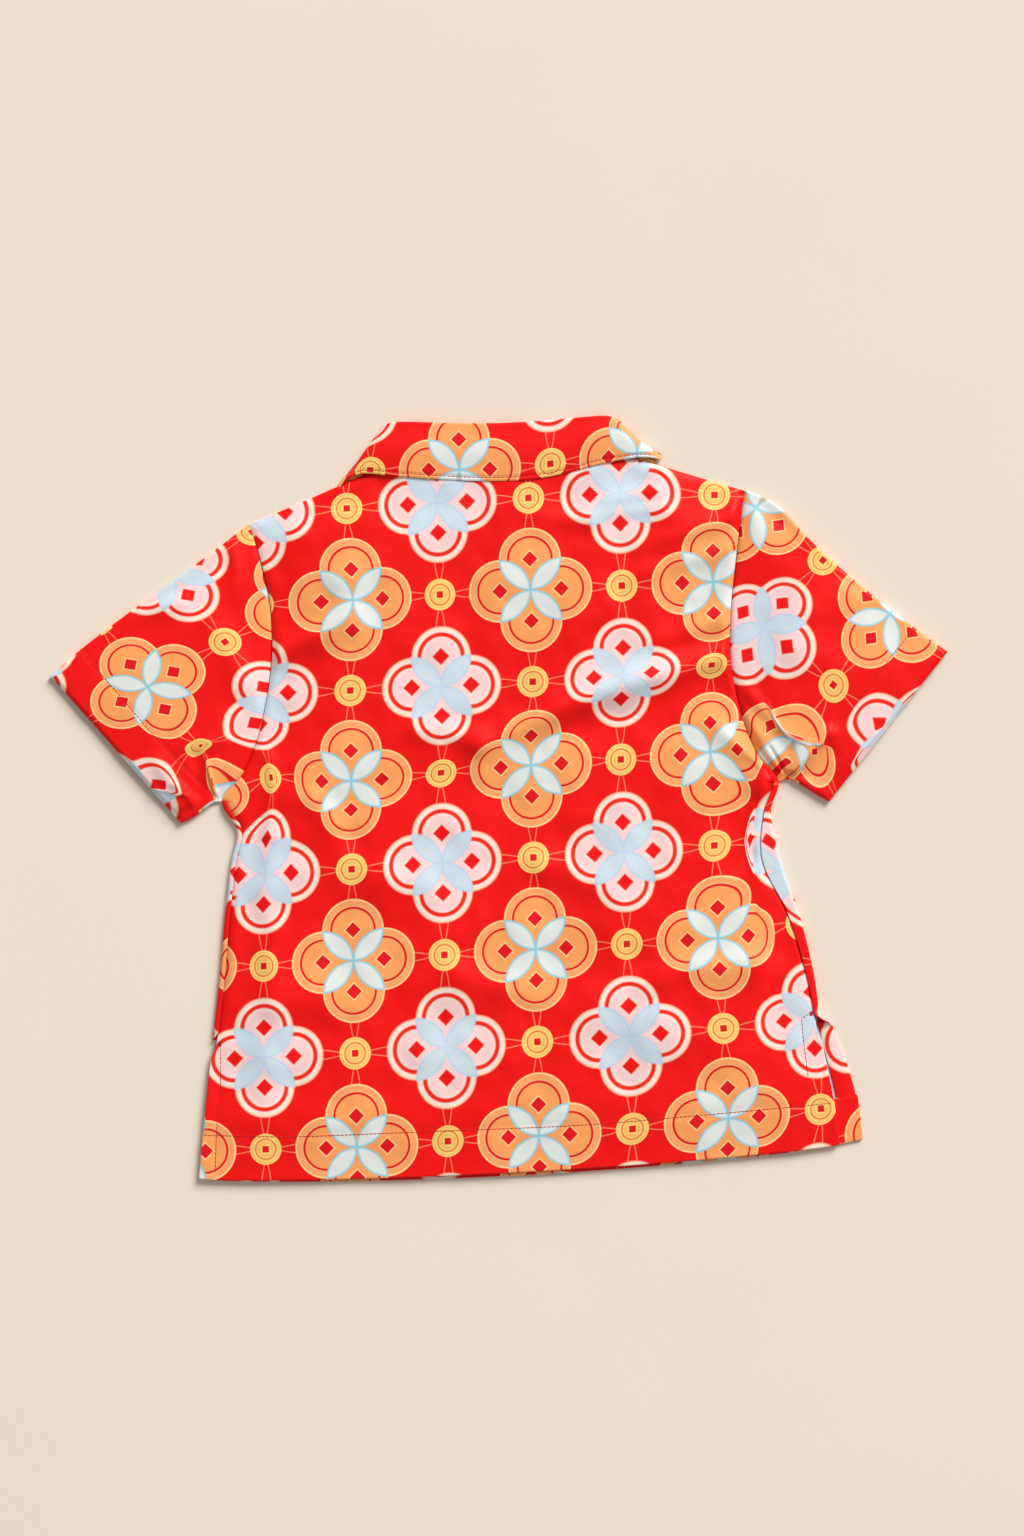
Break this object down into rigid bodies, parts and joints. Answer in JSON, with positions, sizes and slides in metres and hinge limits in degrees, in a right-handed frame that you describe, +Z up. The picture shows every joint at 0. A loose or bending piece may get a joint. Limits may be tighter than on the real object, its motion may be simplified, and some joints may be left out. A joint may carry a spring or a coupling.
{
  "type": "child's short-sleeved tang shirt, laid flat with its back up",
  "caption": "Small child's short-sleeved shirt with a turned-down collar and side vents, in a printed cotton with linked coin medallions, laid flat with its back up.",
  "frame": {"origin": "middle of the base of the shirt's bounding box, on the surface that the shirt lies on", "axes": "+X across the back to the wearer's right sleeve, +Y from the hem to the collar, +Z up from the surface, out of the back"},
  "size_m": [0.5206, 0.4438, 0.0064],
  "materials": {
    "printed_cloth": "smooth satin cotton, bright red ground with a printed coin medallion repeat",
    "button": "plain dyed red plastic, softly polished"
  },
  "bodies": {
    "root": {"back_panel": "printed_cloth", "front_left": "printed_cloth", "front_right": "printed_cloth", "sleeve_left": "printed_cloth", "sleeve_right": "printed_cloth", "collar": "printed_cloth", "button_1": "button", "button_2": "button", "button_3": "button", "button_4": "button", "button_5": "button"}
  },
  "joints": []
}
